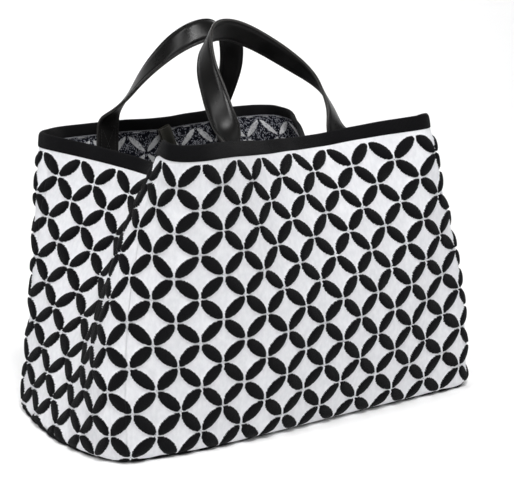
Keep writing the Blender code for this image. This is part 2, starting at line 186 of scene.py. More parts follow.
def fabric(turns, rises, slices=10):
    """Points of the bag's outer face. Each column of stitches keeps its knitted length."""
    turns, rises = np.broadcast_arrays(np.asarray(turns, float), np.asarray(rises, float))
    length = column(turns)
    base = rounded(BASE_OUTLINE, turns)
    middle = rounded(MIDDLE_OUTLINE, turns)
    rim = rounded(RIM_OUTLINE, turns)
    bend = 2 * base - 4 * middle + 2 * rim
    lean = -3 * base + 4 * middle - rim
    up = rises[..., None]
    flat = base + lean * up + bend * up ** 2
    height = np.zeros_like(rises)
    for k in range(slices):
        slope = lean + 2 * bend * up * ((k + 0.5) / slices)
        height += np.sqrt(length ** 2 - (slope ** 2).sum(-1)) * rises / slices
    angle = np.minimum(rises * length / EDGE, math.pi / 2)
    flat = flat + base_edge(turns, EDGE * (1 - np.sin(angle))) - base
    height -= EDGE * (angle - 1 + np.cos(angle))
    return np.concatenate([flat, height[..., None]], axis=-1)


def unit(vectors):
    return vectors / np.linalg.norm(vectors, axis=-1, keepdims=True)


def outward(turns, rises):
    """The unit normals of the fabric, pointing out of the bag."""
    across = fabric(turns + 0.05, rises) - fabric(turns - 0.05, rises)
    up = fabric(turns, np.minimum(rises + 0.002, 1.0)) - fabric(turns, np.maximum(rises - 0.002, 0.0))
    return unit(np.cross(across, up))


def inside(turn, drop, depth):
    """A point `drop` below the rim's top and `depth` inside the outer face."""
    turns = np.array([float(turn)])
    rises = 1.0 - drop / column(turns)
    return (fabric(turns, rises) - outward(turns, rises) * depth)[0]


def reaches(line):
    """The distance along a line to each of its points."""
    return np.concatenate([[0.0], np.cumsum(np.linalg.norm(np.diff(line, axis=0), axis=1))])


def read(rows, reach, wanted):
    """The rows that belong to the wanted distances, between those that belong to `reach`."""
    return np.column_stack([np.interp(wanted, reach, rows[:, k]) for k in range(rows.shape[1])])


def ease(values, low, high):
    share = np.clip((values - low) / (high - low), 0.0, 1.0)
    return share * share * (3 - 2 * share)


def petals(u, v):
    """How far inside a petal each point of the pattern is: 1 on its middle line, 0 off it."""
    a, b = (u + v) / 2, (u - v) / 2
    pillow = np.zeros_like(a)
    for along, across in ((a, b), (b, a)):
        end = 2 * (along - np.floor(along) - 0.5) / PETAL_LENGTH
        half = PETAL_WIDTH * np.maximum(1 - end ** 2, 0.0) ** PETAL_BLUNT
        off = np.abs(across - np.round(across))
        pillow = np.maximum(pillow, 1 - (off / np.maximum(half, 1e-6)) ** 2)
    return np.where(v > 0, pillow, 0.0)


# ------------------------------ materials

def plain(value):
    """A socket's value from a number, or from a colour or vector."""
    return value if isinstance(value, (int, float)) else tuple(value)


class Look:
    """A material that is put together from nodes."""

    def __init__(self, name, **constants):
        self.material = bpy.data.materials.new(name)
        self.material.use_nodes = True
        self.tree = self.material.node_tree
        self.shader = self.tree.nodes["Principled BSDF"]
        for socket, value in constants.items():
            self.shader.inputs[socket.replace("_", " ")].default_value = plain(value)

    def set(self, socket, value):
        if isinstance(value, bpy.types.NodeSocket):
            self.tree.links.new(value, socket)
        else:
            socket.default_value = plain(value)

    def node(self, kind, inputs, **settings):
        made = self.tree.nodes.new(kind)
        for key, value in settings.items():
            setattr(made, key, value)
        for key, value in inputs.items():
            self.set(made.inputs[key], value)
        return made

    def maths(self, operation, *values):
        return self.node("ShaderNodeMath", dict(enumerate(values)), operation=operation).outputs[0]

    def plus(self, first, second):
        return self.maths("ADD", first, second)

    def minus(self, first, second):
        return self.maths("SUBTRACT", first, second)

    def times(self, first, second):
        return self.maths("MULTIPLY", first, second)

    def zigzag(self, value):
        """0 at the edges of each whole unit and 0.5 in its middle."""
        return self.maths("PINGPONG", value, 0.5)

    def attribute(self, name, output="Vector"):
        return self.node("ShaderNodeAttribute", {}, attribute_name=name).outputs[output]

    def point(self, scale=(1.0, 1.0, 1.0)):
        """Object coordinates, which are metres here."""
        return self.stretch(self.node("ShaderNodeTexCoord", {}).outputs["Object"], scale)

    def stretch(self, vector, scale):
        return self.node("ShaderNodeVectorMath", {0: vector, 1: scale}, operation="MULTIPLY").outputs[0]

    def noise(self, vector, scale, detail=3.0):
        inputs = {"Vector": vector, "Scale": scale, "Detail": detail, "Roughness": 0.55}
        return self.node("ShaderNodeTexNoise", inputs).outputs[0]

    def ramp(self, value, low, high, out_low=0.0, out_high=1.0):
        return self.node("ShaderNodeMapRange", {0: value, 1: low, 2: high, 3: out_low, 4: out_high},
                         interpolation_type="SMOOTHSTEP").outputs[0]

    def mix(self, share, first, second):
        made = self.node("ShaderNodeMix", {0: share}, data_type="RGBA")
        for socket, value in ((made.inputs[6], first), (made.inputs[7], second)):
            if not isinstance(value, bpy.types.NodeSocket):
                value = (*value, 1.0)
            self.set(socket, value)
        return made.outputs[2]

    def bump(self, height, distance, strength, under=None):
        inputs = {"Height": height, "Distance": distance, "Strength": strength}
        if under is not None:
            inputs["Normal"] = under
        return self.node("ShaderNodeBump", inputs).outputs[0]

    def done(self, colour, roughness=None, normal=None):
        self.set(self.shader.inputs["Base Color"], colour)
        if roughness is not None:
            self.set(self.shader.inputs["Roughness"], roughness)
        if normal is not None:
            self.set(self.shader.inputs["Normal"], normal)
        return self.material


YARN = {"Roughness": 0.95, "Sheen_Weight": 0.03, "Sheen_Roughness": 0.4, "Specular_IOR_Level": 0.12}


def stitch_rows(look, u, v):
    """How far each point is from its column's edge, and its row, which leans down to the middle."""
    wale = look.zigzag(look.times(u, STITCHES))
    return wale, look.plus(look.times(v, STITCHES * STITCH_SHAPE), look.times(wale, 1.1))


def stitch_height(look, u, v):
    """Height of plain knit: columns of V shaped stitches."""
    wale, rows = stitch_rows(look, u, v)
    course = look.zigzag(rows)
    ridge = look.maths("SINE", look.times(wale, math.pi * 2))
    loop = look.maths("SINE", look.times(course, math.pi * 2))
    return look.plus(look.times(ridge, 0.55), look.times(loop, 0.45))


def petal_nodes(look, u, v, width):
    """Above 0 inside the petals and below 0 outside them, in lattice edges."""
    total = look.times(look.plus(u, v), 0.5)
    across = look.times(look.minus(u, v), 0.5)
    found = []
    for a, b in ((total, across), (across, total)):
        end = look.times(look.minus(look.maths("FRACT", a), 0.5), 2 / PETAL_LENGTH)
        left = look.maths("MAXIMUM", look.minus(1.0, look.times(end, end)), 0.0)
        half = look.times(look.maths("POWER", left, PETAL_BLUNT), width)
        shifted = look.minus(look.maths("FRACT", look.plus(b, 0.5)), 0.5)
        found.append(look.minus(half, look.maths("ABSOLUTE", shifted)))
    return look.maths("MINIMUM", look.maths("MAXIMUM", *found), look.minus(v, 0.02))


def knit_pattern(look, width, ragged):
    """The pattern's value at the stitch that each point lies on, and its plain coordinates."""
    split = look.node("ShaderNodeSeparateXYZ", {0: look.attribute("pattern")})
    u, v = split.outputs[0], split.outputs[1]
    fuzz = look.noise(look.attribute("pattern"), 9.0, detail=2.0)
    fray = look.times(look.minus(fuzz, 0.5), ragged)
    rows = stitch_rows(look, u, v)[1]
    cell_u = look.maths("DIVIDE", look.maths("FLOOR", look.times(u, STITCHES)), STITCHES)
    cell_v = look.maths("DIVIDE", look.maths("FLOOR", rows), STITCHES * STITCH_SHAPE)
    stepped = petal_nodes(look, cell_u, cell_v, width)
    smooth = petal_nodes(look, u, v, width)
    both = look.plus(look.times(stepped, 0.45), look.times(smooth, 0.55))
    return look.plus(both, fray), u, v


def knit_outer():
    look = Look("knit_outer", **YARN)
    inside_petal, u, v = knit_pattern(look, PETAL_WIDTH, 0.05)
    petal = look.ramp(inside_petal, -0.008, 0.010)
    pattern = look.attribute("pattern")
    cloud = look.noise(pattern, 0.9, detail=2.0)
    crease_and_shade = look.noise(look.stretch(pattern, (3.0, 1.6, 1.0)), 1.8, detail=5.0)
    fleck = look.noise(pattern, 60.0, detail=2.0)
    # the white ground is painted darker along the creases: painted shade, on top of the creases' own bump
    white = look.mix(look.ramp(crease_and_shade, 0.3, 0.7), (0.80, 0.805, 0.835), (0.89, 0.895, 0.92))
    white = look.mix(look.ramp(cloud, 0.35, 0.65, 0.0, 0.25), white, (0.78, 0.785, 0.82))
    white = look.mix(look.ramp(fleck, 0.5, 0.75, 0.0, 0.20), white, (0.62, 0.63, 0.67))
    black = look.mix(look.ramp(fleck, 0.45, 0.8), (0.0025, 0.0025, 0.0032), (0.010, 0.010, 0.012))
    height = look.plus(stitch_height(look, u, v), look.times(fleck, 0.5))
    soft = look.bump(crease_and_shade, 0.0015, 0.35)
    normal = look.bump(height, 0.0005, 0.75, under=soft)
    return look.done(look.mix(petal, white, black), None, normal)


def knit_inner():
    """The back of the jacquard: dark, speckled with the light yarn that floats behind it."""
    look = Look("knit_inner", **YARN)
    inside_petal, u, v = knit_pattern(look, PETAL_WIDTH * 0.62, 0.09)
    petal = look.ramp(inside_petal, 0.010, 0.030)
    pattern = look.attribute("pattern")
    counted = look.stretch(pattern, (STITCHES, STITCHES * STITCH_SHAPE, 1.0))
    cell = look.node("ShaderNodeVectorMath", {0: counted}, operation="FLOOR").outputs[0]
    speck = look.node("ShaderNodeTexWhiteNoise", {"Vector": cell}, noise_dimensions="2D").outputs[0]
    patch = look.noise(pattern, 2.6, detail=2.0)
    lit = look.plus(speck, look.times(look.minus(patch, 0.5), 0.9))
    cloud = look.noise(pattern, 1.3, detail=2.0)
    dark = look.mix(look.ramp(lit, 0.66, 0.80), (0.002, 0.003, 0.010), (0.42, 0.43, 0.48))
    light = look.mix(look.ramp(speck, 0.12, 0.02), (0.95, 0.955, 0.97), (0.45, 0.46, 0.50))
    colour = look.mix(petal, dark, light)
    colour = look.mix(look.ramp(cloud, 0.4, 0.7, 0.0, 0.35), colour, (0.012, 0.014, 0.025))
    height = look.plus(stitch_height(look, u, v), look.times(speck, 0.9))
    return look.done(colour, None, look.bump(height, 0.0006, 0.8))


def rib_knit():
    """The band: fine upright ribs of the dark yarn."""
    look = Look("rib_knit", **YARN)
    pattern = look.attribute("pattern")
    split = look.node("ShaderNodeSeparateXYZ", {0: pattern})
    rib, loops = (look.zigzag(look.times(split.outputs[k], STITCHES)) for k in (0, 1))
    fleck = look.noise(look.stretch(pattern, (1.0, 0.5, 1.0)), 40.0)
    rise = look.maths("SINE", look.times(rib, math.pi))
    # the colour follows the rib's profile, darker in the grooves than on the crests: painted shade
    colour = look.mix(rise, (0.0010, 0.0010, 0.0014), (0.0032, 0.0032, 0.0040))
    colour = look.mix(look.ramp(fleck, 0.55, 0.8, 0.0, 0.5), colour, (0.008, 0.008, 0.010))
    height = look.plus(rise, look.times(loops, 0.5))
    height = look.plus(height, look.times(fleck, 0.4))
    return look.done(colour, None, look.bump(height, 0.0006, 0.8))


def band_seam():
    """The light overlocked line where the band is sewn to the body, inside."""
    look = Look("band_seam", Roughness=0.9)
    pattern = look.attribute("pattern")
    speck = look.noise(look.stretch(pattern, (1.0, 3.0, 1.0)), 26.0)
    colour = look.mix(look.ramp(speck, 0.42, 0.58), (0.02, 0.02, 0.03), (0.42, 0.43, 0.46))
    return look.done(colour, None, look.bump(speck, 0.0008, 0.8))


def leather(name, dark, light, edge, rough_low, rough_high):
    look = Look(name, Specular_IOR_Level=0.18)
    place = look.point()
    cell = look.node("ShaderNodeTexVoronoi", {"Vector": place, "Scale": 1150.0}, feature="F1")
    grain = look.ramp(cell.outputs["Distance"], 0.15, 0.75)
    pores = look.noise(place, 420.0, detail=4.0)
    cloud = look.noise(place, 38.0, detail=3.0)
    wear = look.times(look.attribute("edge", "Fac"), look.ramp(pores, 0.3, 0.7, 0.45, 1.0))
    colour = look.mix(look.ramp(cloud, 0.35, 0.7), dark, light)
    colour = look.mix(wear, colour, edge)
    rough = look.ramp(look.plus(cloud, look.times(pores, 0.3)), 0.45, 0.85,
                      rough_low, rough_high)
    height = look.minus(look.times(pores, 0.6), look.times(grain, 0.5))
    return look.done(colour, rough, look.bump(height, 0.00018, 0.30))


def thread_look():
    look = Look("waxed_thread", Specular_IOR_Level=0.4)
    twist = look.node("ShaderNodeTexWave", {"Vector": look.point((1.0, 1.0, 1.6)), "Scale": 900.0,
                                            "Distortion": 1.0}, bands_direction="DIAGONAL").outputs[1]
    # the colour follows the twist's ridges and grooves, darker in the grooves: painted shade
    colour = look.mix(twist, (0.003, 0.003, 0.003), (0.012, 0.0115, 0.011))
    return look.done(colour, 0.55, look.bump(twist, 0.00012, 0.7))


def board_look():
    """A stiffener wrapped in dark felted cloth."""
    look = Look("wrapped_board", Sheen_Weight=0.2, Specular_IOR_Level=0.3)
    place = look.point()
    fibre = look.noise(look.point((1.0, 2.4, 1.0)), 520.0, detail=4.0)
    cloud = look.noise(place, 22.0)
    colour = look.mix(look.ramp(fibre, 0.35, 0.7), (0.018, 0.019, 0.024), (0.055, 0.057, 0.066))
    colour = look.mix(look.ramp(cloud, 0.4, 0.7, 0.0, 0.35), colour, (0.03, 0.03, 0.034))
    return look.done(colour, look.ramp(cloud, 0.3, 0.7, 0.78, 0.92), look.bump(fibre, 0.0004, 0.6))


def steel_look():
    look = Look("brushed_steel", Metallic=1.0)
    place = look.point()
    brushed = look.noise(look.point((1.0, 1.0, 14.0)), 300.0, detail=3.0)
    cloud = look.noise(place, 260.0)
    colour = look.mix(look.ramp(cloud, 0.3, 0.75), (0.56, 0.55, 0.54), (0.40, 0.40, 0.41))
    return look.done(colour, look.ramp(brushed, 0.3, 0.7, 0.20, 0.36), look.bump(brushed, 0.00006, 0.4))


def floor_look():
    look = Look("pale_floor", Roughness=0.75)
    cloud = look.noise(look.point(), 3.0)
    return look.done(look.mix(cloud, (0.95, 0.95, 0.952), (0.97, 0.97, 0.972)))


LOOKS = {
    "outer": knit_outer(),
    "inner": knit_inner(),
    "rib": rib_knit(),
    "seam": band_seam(),
    "leather": leather("glossy_leather", (0.0012, 0.0011, 0.0011), (0.0035, 0.0033, 0.0032),
                       (0.06, 0.058, 0.056), 0.25, 0.35),
    "lining": leather("lining_leather", (0.003, 0.0028, 0.0028), (0.008, 0.0076, 0.0075),
                      (0.05, 0.048, 0.046), 0.42, 0.60),
    "tab": leather("tab_leather", (0.012, 0.012, 0.009), (0.028, 0.027, 0.021),
                   (0.16, 0.155, 0.14), 0.36, 0.54),
    "thread": thread_look(),
    "board": board_look(),
    "steel": steel_look(),
    "floor": floor_look(),
}

# ------------------------------ making pieces

collection = bpy.data.collections.new("visual")
bpy.context.scene.collection.children.link(collection)


def add_piece(name, points, faces, looks, face_looks=None, **attributes):
    """A smooth shaded mesh. `attributes` are one number or vector for each point."""
    mesh = bpy.data.meshes.new(name)
    mesh.from_pydata(np.asarray(points).tolist(), [], faces)
    for look in looks:
        mesh.materials.append(LOOKS[look])
    mesh.shade_smooth()
    if face_looks is not None:
        mesh.polygons.foreach_set("material_index", np.asarray(face_looks, dtype=np.int32))
    for key, values in attributes.items():
        vector = np.ndim(values) == 2
        layer = mesh.attributes.new(key, "FLOAT_VECTOR" if vector else "FLOAT", "POINT")
        layer.data.foreach_set("vector" if vector else "value", np.asarray(values, np.float32).ravel())
    mesh.update()
    piece = bpy.data.objects.new(name, mesh)
    collection.objects.link(piece)
    return piece


def settle(piece, body, slot, *nodes):
    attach(piece, body)
    if nodes:
        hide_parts(*nodes)


def grid_faces(first, rows, columns, flip=False):
    """The quads of a grid of points whose numbers start at `first`."""
    start = first + (np.arange(rows - 1)[:, None] * columns + np.arange(columns - 1)).ravel()
    quads = np.stack([start, start + 1, start + 1 + columns, start + columns], axis=1)
    return quads[:, ::-1] if flip else quads


def ring_faces(rings, sides, first=0, closed=False):
    """The quads between rings of `sides` points each. Closed, the last ring meets the first."""
    faces = []
    for k in range(rings if closed else rings - 1):
        low, high = first + k * sides, first + (k + 1) % rings * sides
        for j in range(sides):
            ahead = (j + 1) % sides
            faces.append((low + j, low + ahead, high + ahead, high + j))
    return faces


# ------------------------------ the knitted body

SAMPLES = 12                # columns of points in one STEP
ROWS = 141                  # rows of points up a wall


def pattern_place(turns, rises):
    """The pattern's coordinates, as the material reads them, with the knit's own unevenness."""
    row = ((1 - rises) * column(turns) - FIRST_ROW) / ROW
    turn = np.mod(turns + TURNS / 2, TURNS) - TURNS / 2      # the left side's turns are negative
    along, down = np.zeros_like(row), np.zeros_like(row)
    for across, depth, u_shift, v_shift in KNIT_DRIFT:
        share = np.interp(turn, across, (0, 1, 1, 0)) * np.interp(row, depth, (0, 1, 1, 0))
        along += u_shift * share
        down += v_shift * share
    return turns + along, row + down


def slack(turns, rises):
    """Soft unevenness of the cloth, in metres, and the puff under the band at the front right corner."""
    lap = 2 * math.pi * turns / TURNS
    below = (1 - rises) * column(turns) - BAND
    puff = np.exp(-((turns - 19.5) / 2.6) ** 2) * ease(below, 0.0, 0.014) * (1 - ease(below, 0.03, 0.17))
    return (0.0006 * np.sin(9 * lap + 5 * rises) + 0.0005 * np.sin(17 * lap - 7 * rises + 1.0)
            + 0.0004 * np.sin(31 * lap + 11 * rises + 2.0) + 0.0055 * puff)


def make_wall(name, first, last, node):
    """One side of the body: outer face in relief, inner face and the edges between them."""
    count = (last - first) * SAMPLES + 1
    turns = np.linspace(first, last, count)
    share = np.linspace(0.0, 1.0, ROWS)[:, None]
    top = 1.0 - (BAND - 0.0006) / column(turns)
    rises = share * top[None, :]
    turns = np.broadcast_to(turns, rises.shape)
    surface = fabric(turns, rises)
    normal = outward(turns, rises)
    u, v = pattern_place(turns, rises)
    if first > TURNS / 2:
        u = u - TURNS                            # so that it runs on into the front without a break
    pillow = petals(u, v)
    standing = np.clip(1.0 + 1.3 * normal[..., 2], 0.0, 1.0) * ease(rises * column(turns), 0.0, EDGE)
    relief = PUFF * pillow * (1.6 - 0.6 * pillow) - SUNK
    under_band = 0.1 + 0.9 * ease((1 - rises) * column(turns) - BAND, 0.002, 0.013)
    outer = surface + normal * ((relief * under_band + slack(turns, rises)) * standing)[..., None]
    inner = surface - normal * (KNIT - slack(turns, rises) * standing)[..., None]
    place = np.stack([u, v, np.zeros_like(u)], axis=-1)
    size = ROWS * count
    fewer = count // 2 + 1                       # the inner face has half as many rows and columns
    points = np.concatenate([outer.reshape(-1, 3), inner[::2, ::2].reshape(-1, 3)])
    points[:, 2] = np.maximum(points[:, 2], 0.0)
    outside = grid_faces(0, ROWS, count).tolist()
    behind = grid_faces(size, ROWS // 2 + 1, fewer, flip=True).tolist()
    rims = []
    for k in range(fewer - 1):
        low, high = 2 * k, 2 * k + (ROWS - 1) * count
        below, above = size + k, size + k + (ROWS // 2) * fewer
        rims.append((below, below + 1, low + 2, low + 1, low))
        rims.append((above + 1, above, high, high + 1, high + 2))
    for k in range(ROWS // 2):
        left, right = 2 * k * count, (2 * k + 1) * count - 1
        beside, opposite = size + k * fewer, size + (k + 1) * fewer - 1
        rims.append((beside, left, left + count, left + 2 * count, beside + fewer))
        rims.append((right, opposite, opposite + fewer, right + 2 * count, right + count))
    faces = outside + behind + rims
    looks = [0] * len(outside) + [1] * len(behind) + [0] * len(rims)
    piece = add_piece(name, points, faces, ("outer", "inner"), looks,
                      pattern=np.concatenate([place.reshape(-1, 3), place[::2, ::2].reshape(-1, 3)]))
    settle(piece, "root", "knit", node)
    sharpen(piece.data, size)


def sharpen(mesh, size):
    """Keep the outer and inner faces' shading apart from the cut edges between them."""
    loops = np.zeros(len(mesh.edges) * 2, dtype=np.int32)
    mesh.edges.foreach_get("vertices", loops)
    ends = loops.reshape(-1, 2)
    sides = ends < size
    crossing = sides[:, 0] != sides[:, 1]
    touched = np.zeros(len(mesh.vertices), bool)
    touched[ends[crossing].ravel()] = True
    border = touched[ends[:, 0]] & touched[ends[:, 1]] & ~crossing
    layer = mesh.attributes.new("sharp_edge", "BOOLEAN", "EDGE")
    layer.data.foreach_set("value", border)


def make_band():
    """The rim band: a ring of ribbed knit, round at the top, with its sewn line inside."""
    profile = [(BAND + 0.0006, 0.0003), (BAND, -0.0006), (0.0115, -0.0009), (0.0080, -0.0010),
               (0.0045, -0.0009), (0.0022, -0.0005), (0.0008, 0.0003), (0.0, 0.0014), (0.0, 0.0027),
               (0.0009, 0.0038), (0.0026, 0.0043), (0.0060, 0.0045), (0.0095, 0.0044), (0.0112, 0.0041),
               (0.0120, 0.0036), (0.0134, 0.0038), (BAND + 0.0008, 0.0031)]
    seam = 14                                    # the stretch of the profile that is the sewn line
    count = TURNS * SAMPLES * 2
    turns = np.linspace(0, TURNS, count, endpoint=False)
    points, place = [], []
    for (drop, depth), reach in zip(profile, reaches(profile)):
        rises = 1.0 - drop / column(turns)
        points.append(fabric(turns, rises) + outward(turns, rises) * (slack(turns, rises) - depth)[..., None])
        place.append(np.stack([turns, np.full(count, reach / STEP), np.zeros(count)], axis=-1))
    rings = len(profile)
    faces = ring_faces(rings, count, closed=True)
    looks = np.repeat([{seam: 1, seam + 1: 2}.get(k, 0) for k in range(rings)], count)
    piece = add_piece("knitted_rim_band", np.concatenate(points), faces, ("rib", "seam", "inner"), looks,
                      pattern=np.concatenate(place))
    settle(piece, "root", "rib_band", "rim_band")


def make_base():
    """The knitted underside, a flat cloth that meets the rounded bottom edge all round."""
    count = TURNS * 4
    turns = np.linspace(0, TURNS, count, endpoint=False)
    edge = base_edge(turns, np.full(count, EDGE + 0.0002))
    centre = edge.mean(axis=0)
    rings = np.linspace(0.0, 1.0, 40)[1:]
    outer_level, inner_level = 0.0003, 0.0030
    levels = []
    for z, relief, order in ((outer_level, outer_level, rings), (inner_level, 0.0, rings[::-1])):
        for share in order:
            flat = centre + (edge - centre) * share
            levels.append(np.column_stack([flat, z - relief * petals(*(flat / (STEP, ROW)).T)]))
    points = np.concatenate(levels)
    rows = len(levels)
    total = rows * count
    faces = ring_faces(rows, count)
    looks = [0 if k < len(rings) else 1 for k in range(rows - 1) for _ in range(count)]
    points = np.vstack([points, [*centre, outer_level], [*centre, inner_level]])
    place = np.column_stack([points[:, :2] / (STEP, ROW), np.zeros(len(points))])
    for j in range(count):
        ahead = (j + 1) % count
        faces.append((total, ahead, j))
        faces.append((total + 1, total - count + j, total - count + ahead))
        looks += [0, 1]
    piece = add_piece("knitted_base", points, faces, ("outer", "inner"), looks, pattern=place)
    settle(piece, "root", "knit", "base_panel")


def make_dark_bottom_ring():
    """A dark ribbed ring round the base's edge, bunched between the petals."""
    count = TURNS * 8
    turns = np.linspace(0, TURNS, count, endpoint=False)
    tilt = math.radians(58)                      # how far round the soft bottom edge it lies
    centre = base_edge(turns, np.full(count, EDGE * (1 - math.cos(tilt))))
    out = base_edge(turns, np.zeros(count)) - base_edge(turns, np.full(count, 0.001))
    out = np.column_stack([unit(out), np.zeros(count)])
    girth = 0.0008 + 0.0012 * np.abs(np.sin(math.pi * turns)) ** 1.5 + 0.0001 * np.sin(2.7 * turns)
    line = np.column_stack([centre, np.maximum(EDGE * (1 - math.sin(tilt)), girth + 0.0001)])
    angles = np.linspace(0, 2 * math.pi, 10, endpoint=False)
    rings = (line[:, None, :] + girth[:, None, None] * (np.cos(angles)[None, :, None] * out[:, None, :]
             + np.sin(angles)[None, :, None] * np.array([0.0, 0.0, 1.0])))
    sides = len(angles)
    faces = [quad[::-1] for quad in ring_faces(count, sides, closed=True)]
    place = np.column_stack([np.repeat(turns, sides), np.tile(angles * 0.012, count),
                             np.zeros(count * sides)])
    piece = add_piece("dark_bottom_ring", rings.reshape(-1, 3), faces, ("rib",), pattern=place)
    settle(piece, "root", "rib_band")


# ------------------------------ straps

# the stitches' pitch, length and thread radius
EDGE_STITCH = (0.0034, 0.0027, 0.00028)
BOX_STITCH = (0.0030, 0.0024, 0.00042)
CROSS_STITCH = (0.0030, 0.0024, 0.00036)
TAB_STITCH = (0.0030, 0.0024, 0.00024)
EDGE_INSET = 0.0024         # a handle's stitches and pressed line, in from the strap's edge
TAB_INSET = 0.0020          # the same on a tab


def resample(points, normals, spacing, passes=6):
    """Points at even distances along a path, with its corners and normals smoothed."""
    points, normals = np.asarray(points), np.asarray(normals)
    reach = reaches(points)
    wanted = np.linspace(0.0, reach[-1], max(int(reach[-1] / spacing), 2) + 1)
    line, facing = read(points, reach, wanted), read(normals, reach, wanted)
    for _ in range(passes):
        line[1:-1] += (line[2:] + line[:-2] - 2 * line[1:-1]) * 0.25
        facing[1:-1] += (facing[2:] + facing[:-2] - 2 * facing[1:-1]) * 0.25
    tangent = unit(np.gradient(line, axis=0))
    facing = unit(facing - tangent * (facing * tangent).sum(1)[:, None])
    return line, np.cross(tangent, facing), facing


def sweep(line, across, facing, section, widths=None):
    """Points and faces of a closed section swept along a line, with its ends closed."""
    section = np.asarray(section)
    widths = np.ones(len(line)) if widths is None else widths
    points = (line[:, None, :] + across[:, None, :] * (section[:, 0] * widths[:, None])[..., None]
              + facing[:, None, :] * section[:, 1][None, :, None])
    rows, sides = len(line), len(section)
    faces = ring_faces(rows, sides)
    faces.append(tuple(range(sides))[::-1])
    faces.append(tuple((rows - 1) * sides + j for j in range(sides)))
    return points.reshape(-1, 3), faces


def strap_section(width, low, high, groove):
    """Half a strap's outline mirrored: rounded edges, a soft crown and a pressed line near each edge.

    Returns the closed outline and how much of each point is worn edge.
    """
    half = width / 2
    line = half - groove
    thick = high - low
    right = [(half - 0.25 * thick, low, 0.3), (half, low + 0.3 * thick, 1.0), (half, high - 0.4 * thick, 1.0),
             (half - 0.18 * thick, high - 0.16 * thick, 0.6), (half - 0.5 * thick, high - 0.03 * thick, 0.1),
             (line + 0.0004, high - 0.00003, 0.0), (line + 0.00012, high - 0.0003, 0.0),
             (line - 0.00012, high - 0.0003, 0.0), (line - 0.0004, high - 0.00003, 0.0),
             (half * 0.5, high + 0.00004, 0.0), (half * 0.2, high + 0.00006, 0.0)]
    left = [(-x, y, worn) for x, y, worn in right[::-1]]
    outline = right + left + [(-half * 0.4, low, 0.0), (half * 0.4, low, 0.0)]
    return [(x, y) for x, y, _ in outline], [worn for _, _, worn in outline]


def add_strap(name, path, width, low, high, groove, look, widths=None):
    section, worn = strap_section(width, low, high, groove)
    points, faces = sweep(*path, section, widths)
    return add_piece(name, points, faces, (look,), edge=np.tile(worn, len(path[0])))


def stitch_run(line, across, facing, pitch, length, radius):
    """Short rounded stitches along a line: points and faces."""
    reach = reaches(line)
    count = int(reach[-1] / pitch)
    start = (reach[-1] - count * pitch + pitch - length) / 2
    sides = 6
    angles = np.linspace(0, 2 * math.pi, sides, endpoint=False)
    ring = np.column_stack([np.cos(angles), np.sin(angles)])[None]
    shares = np.array([0.0, 0.12, 0.5, 0.88, 1.0])
    girth = np.array([0.35, 0.85, 1.0, 0.85, 0.35]) * radius
    sink = np.array([-1.1, -0.3, 0.25, -0.3, -1.1]) * radius
    all_points, all_faces = [], []
    for k in range(count):
        at = start + k * pitch + length * shares
        centre, side, up = (read(rows, reach, at) for rows in (line, across, facing))
        around = side[:, None, :] * ring[..., :1] + up[:, None, :] * ring[..., 1:]
        ringed = centre[:, None, :] + up[:, None, :] * sink[:, None, None] + around * girth[:, None, None]
        first = k * len(shares) * sides
        last = first + (len(shares) - 1) * sides
        all_points.append(ringed.reshape(-1, 3))
        all_faces += ring_faces(len(shares), sides, first)
        all_faces.append(tuple(range(first, first + sides))[::-1])
        all_faces.append(tuple(range(last, last + sides)))
    return np.concatenate(all_points), all_faces


def merged(parts):
    """Several (points, faces) pairs as one."""
    points, faces, first = [], [], 0
    for some, quads in parts:
        points.append(some)
        faces += [tuple(first + k for k in quad) for quad in quads]
        first += len(some)
    return np.concatenate(points), faces


# ------------------------------ the leather handles

SPLAY = 1.8                 # turns that a sewn end would drift over a full column


def leg_root(turn):
    """The point of a handle's swing axis where a leg crosses it."""
    return inside(turn, 0.0, ANCHOR_DEPTH) + (0, 0, SWING_RISE)


def loop_plane(handle, side):
    """The loop's roots and its plane: across, up and the direction its outer face looks."""
    left, right = (leg_root(turn) for turn in handle["legs"])
    across = unit(right - left)
    lean = math.radians(handle["lean"])
    up = np.array([0.0, -side * math.sin(lean), math.cos(lean)])
    up = unit(up - across * up.dot(across))
    return left, right, across, up, np.cross(across, up) * -side


def smooth_line(points, steps=12):
    """A Catmull-Rom curve through the points."""
    points = np.array(points)
    ends = np.vstack([2 * points[0] - points[1], points, 2 * points[-1] - points[-2]])
    t = (np.arange(steps) / steps)[:, None]
    fine = []
    for p0, p1, p2, p3 in zip(ends, ends[1:], ends[2:], ends[3:]):
        fine.append(0.5 * (2 * p1 + (p2 - p0) * t + (2 * p0 - 5 * p1 + 4 * p2 - p3) * t ** 2
                           + (3 * p1 - p0 - 3 * p2 + p3) * t ** 3))
    return np.vstack(fine + [points[-1:]])


def anchor_line(turn, splay, count=16):
    """Points and normals up a sewn end, from its lower edge to the rim."""
    points, normals = [], []
    for rise in np.linspace(1.0 - ANCHOR_LENGTH / LENGTH, 1.0, count):
        place = np.array([turn + splay * (1.0 - rise)])
        out = outward(place, np.array([rise]))[0]
        points.append(fabric(place, np.array([rise]))[0] - out * ANCHOR_DEPTH)
        normals.append(out)
    return np.array(points), np.array(normals)


def handle_path(handle, side):
    """Points and outer normals from one sewn end, round the loop and down to the other end."""
    left, right, across, up, face = loop_plane(handle, side)
    course = np.array(handle["course"]) * STEP
    course[:, 0] *= np.linalg.norm(right - left) / course[-1, 0]
    flat = smooth_line(course)
    reach = reaches(flat)
    shares = np.linspace(0.012, 0.988, 150)
    along = read(flat, reach, shares * reach[-1])
    tangent = unit(np.gradient(along, axis=0))
    twist = np.radians(np.interp(shares, *zip(*handle["twist"])))[:, None]
    away = across * -tangent[:, 1:] + up * tangent[:, :1]
    loop = left + across * along[:, :1] + up * along[:, 1:]
    loop_normals = face * np.cos(twist) + away * np.sin(twist)
    splay = side * SPLAY
    first, first_normals = anchor_line(handle["legs"][0], splay)
    last, last_normals = anchor_line(handle["legs"][1], -splay)
    points = np.vstack([first, loop, last[::-1]])
    normals = np.vstack([first_normals, loop_normals, last_normals[::-1]])
    return resample(points, normals, 0.0020, passes=22)


